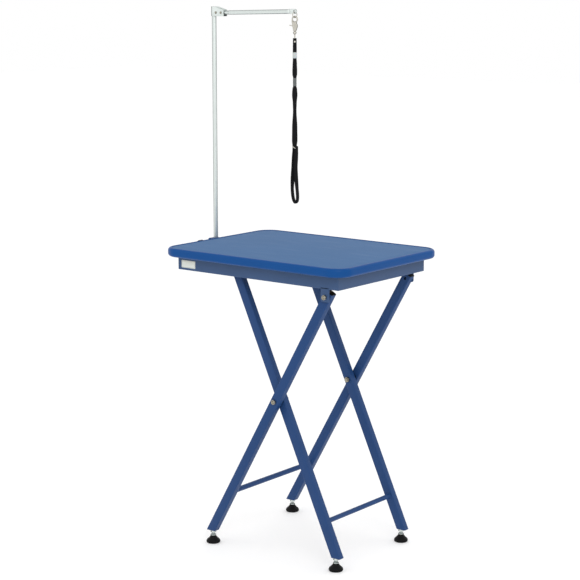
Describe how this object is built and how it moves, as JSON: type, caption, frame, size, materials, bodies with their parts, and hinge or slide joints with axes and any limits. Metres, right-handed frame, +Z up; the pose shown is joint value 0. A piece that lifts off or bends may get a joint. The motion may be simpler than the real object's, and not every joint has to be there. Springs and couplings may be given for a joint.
{
  "type": "grooming table",
  "caption": "Folding table on crossed legs with a padded top, levelling feet, a clamped post and a folding arm that carries a hanging noose.",
  "frame": {"origin": "on the floor, under the middle of the object's box", "axes": "+Z up, +X along the long side of the top away from the post, +Y towards the back of the table"},
  "size_m": [0.6346, 0.45, 1.4365],
  "materials": {
    "moulded_edge": "glossy royal blue moulding",
    "mat": "matte fine-textured blue mat",
    "board": "raw board",
    "powder_coat": "satin blue powder coat",
    "zinc": "bright zinc plate",
    "chrome": "satin chromed tube",
    "nickel": "nickel plate",
    "black_plastic": "moulded black",
    "webbing": "black nylon webbing",
    "clear_plastic": "milky sleeve",
    "grey_plastic": "ribbed grey slider",
    "label": "blank white label"
  },
  "bodies": {
    "outer_frame": {"front_outer_leg": "powder_coat", "rear_outer_leg": "powder_coat", "front_leg_plug": "black_plastic", "rear_leg_plug": "black_plastic", "outer_stretcher": "powder_coat", "front_pivot_bolt": "zinc", "rear_pivot_bolt": "zinc", "front_pivot_nut": "zinc", "rear_pivot_nut": "zinc", "front_pivot_spacer": "black_plastic", "rear_pivot_spacer": "black_plastic", "front_hinge_bolt": "zinc", "rear_hinge_bolt": "zinc", "front_hinge_nut": "zinc", "rear_hinge_nut": "zinc", "front_outer_foot_nut": "zinc", "rear_outer_foot_nut": "zinc"},
    "inner_frame": {"front_inner_leg": "powder_coat", "rear_inner_leg": "powder_coat", "inner_stretcher": "powder_coat", "crossbar": "powder_coat", "front_inner_foot_nut": "zinc", "rear_inner_foot_nut": "zinc"},
    "tabletop": {"board": "board", "top_mat": "mat", "edge_rim": "moulded_edge", "front_rail": "powder_coat", "rear_rail": "powder_coat", "left_rail": "powder_coat", "right_rail": "powder_coat", "front_bar_saddle": "powder_coat", "rear_bar_saddle": "powder_coat", "label_plate": "label", "post_bracket": "powder_coat"},
    "front_outer_foot": {"front_outer_foot_pad": "black_plastic", "front_outer_foot_stem": "zinc"},
    "rear_outer_foot": {"rear_outer_foot_pad": "black_plastic", "rear_outer_foot_stem": "zinc"},
    "front_inner_foot": {"front_inner_foot_pad": "black_plastic", "front_inner_foot_stem": "zinc"},
    "rear_inner_foot": {"rear_inner_foot_pad": "black_plastic", "rear_inner_foot_stem": "zinc"},
    "knob": {"clamp_knob": "black_plastic", "clamp_screw": "zinc"},
    "post_foot": {"post_cap": "black_plastic"},
    "post_assembly": {"post": "chrome", "arm_bracket": "zinc", "bracket_rivet": "zinc", "arm_rivet": "zinc", "arm_stop": "black_plastic"},
    "arm_assembly": {"arm": "chrome"},
    "ring": {"hanging_ring": "nickel"},
    "hook": {"snap_hook": "nickel"},
    "trigger": {"hook_trigger": "nickel"},
    "noose": {"swivel_eye": "nickel", "strap_rivet": "nickel", "noose_strap": "webbing", "strap_keeper": "clear_plastic", "slip_ring": "nickel"},
    "slider": {"noose_slider": "grey_plastic"}
  },
  "joints": [
    {"name": "leg_scissor", "type": "hinge", "parent": "outer_frame", "child": "inner_frame", "pos_m": [0.07325, 0, 0.4285], "axis": [0, 1, 0], "range_deg": [0, 46]},
    {"name": "top_tilt", "type": "hinge", "parent": "outer_frame", "child": "tabletop", "pos_m": [0.24092, 0, 0.72486], "axis": [0, 1, 0], "range_deg": [0, 75]},
    {"name": "front_outer_foot_level", "type": "slide", "parent": "outer_frame", "child": "front_outer_foot", "axis": [0, 0, 1], "range_m": [-0.008, 0.005]},
    {"name": "rear_outer_foot_level", "type": "slide", "parent": "outer_frame", "child": "rear_outer_foot", "axis": [0, 0, 1], "range_m": [-0.008, 0.005]},
    {"name": "front_inner_foot_level", "type": "slide", "parent": "inner_frame", "child": "front_inner_foot", "axis": [0, 0, 1], "range_m": [-0.008, 0.005]},
    {"name": "rear_inner_foot_level", "type": "slide", "parent": "inner_frame", "child": "rear_inner_foot", "axis": [0, 0, 1], "range_m": [-0.008, 0.005]},
    {"name": "knob_turn", "type": "hinge", "parent": "tabletop", "child": "knob", "pos_m": [-0.30075, -0.03, 0.787], "axis": [0, -1, 0], "continuous": true},
    {"name": "post_lift", "type": "slide", "parent": "tabletop", "child": "post_foot", "axis": [0, 0, 1], "range_m": [-0.11, 0.03]},
    {"name": "post_swivel", "type": "hinge", "parent": "post_foot", "child": "post_assembly", "pos_m": [-0.30075, 0.0235, 0.741], "axis": [0, 0, 1], "continuous": true},
    {"name": "arm_fold", "type": "hinge", "parent": "post_assembly", "child": "arm_assembly", "pos_m": [-0.27075, 0.0235, 1.42], "axis": [0, -1, 0], "range_deg": [0, 88]},
    {"name": "ring_swing", "type": "hinge", "parent": "arm_assembly", "child": "ring", "pos_m": [-0.02181, 0.0235, 1.42521], "axis": [0, 1, 0], "range_deg": [-75, 30]},
    {"name": "hook_sway", "type": "hinge", "parent": "ring", "child": "hook", "pos_m": [-0.02181, 0.0235, 1.41631], "axis": [0.9659, -0.2588, 0], "range_deg": [-35, 35]},
    {"name": "hook_swivel", "type": "hinge", "parent": "hook", "child": "noose", "pos_m": [-0.02181, 0.0235, 1.37], "axis": [0, 0, 1], "continuous": true},
    {"name": "trigger_pull", "type": "hinge", "parent": "hook", "child": "trigger", "pos_m": [-0.02653, 0.02267, 1.389], "axis": [-0.1736, 0.9848, 0], "range_deg": [0, 12], "stiffness_Nm_per_rad": 0.02, "springref_deg": -17.19},
    {"name": "slider_travel", "type": "slide", "parent": "noose", "child": "slider", "axis": [0, 0, 1], "range_m": [-0.14, 0.05]}
  ]
}
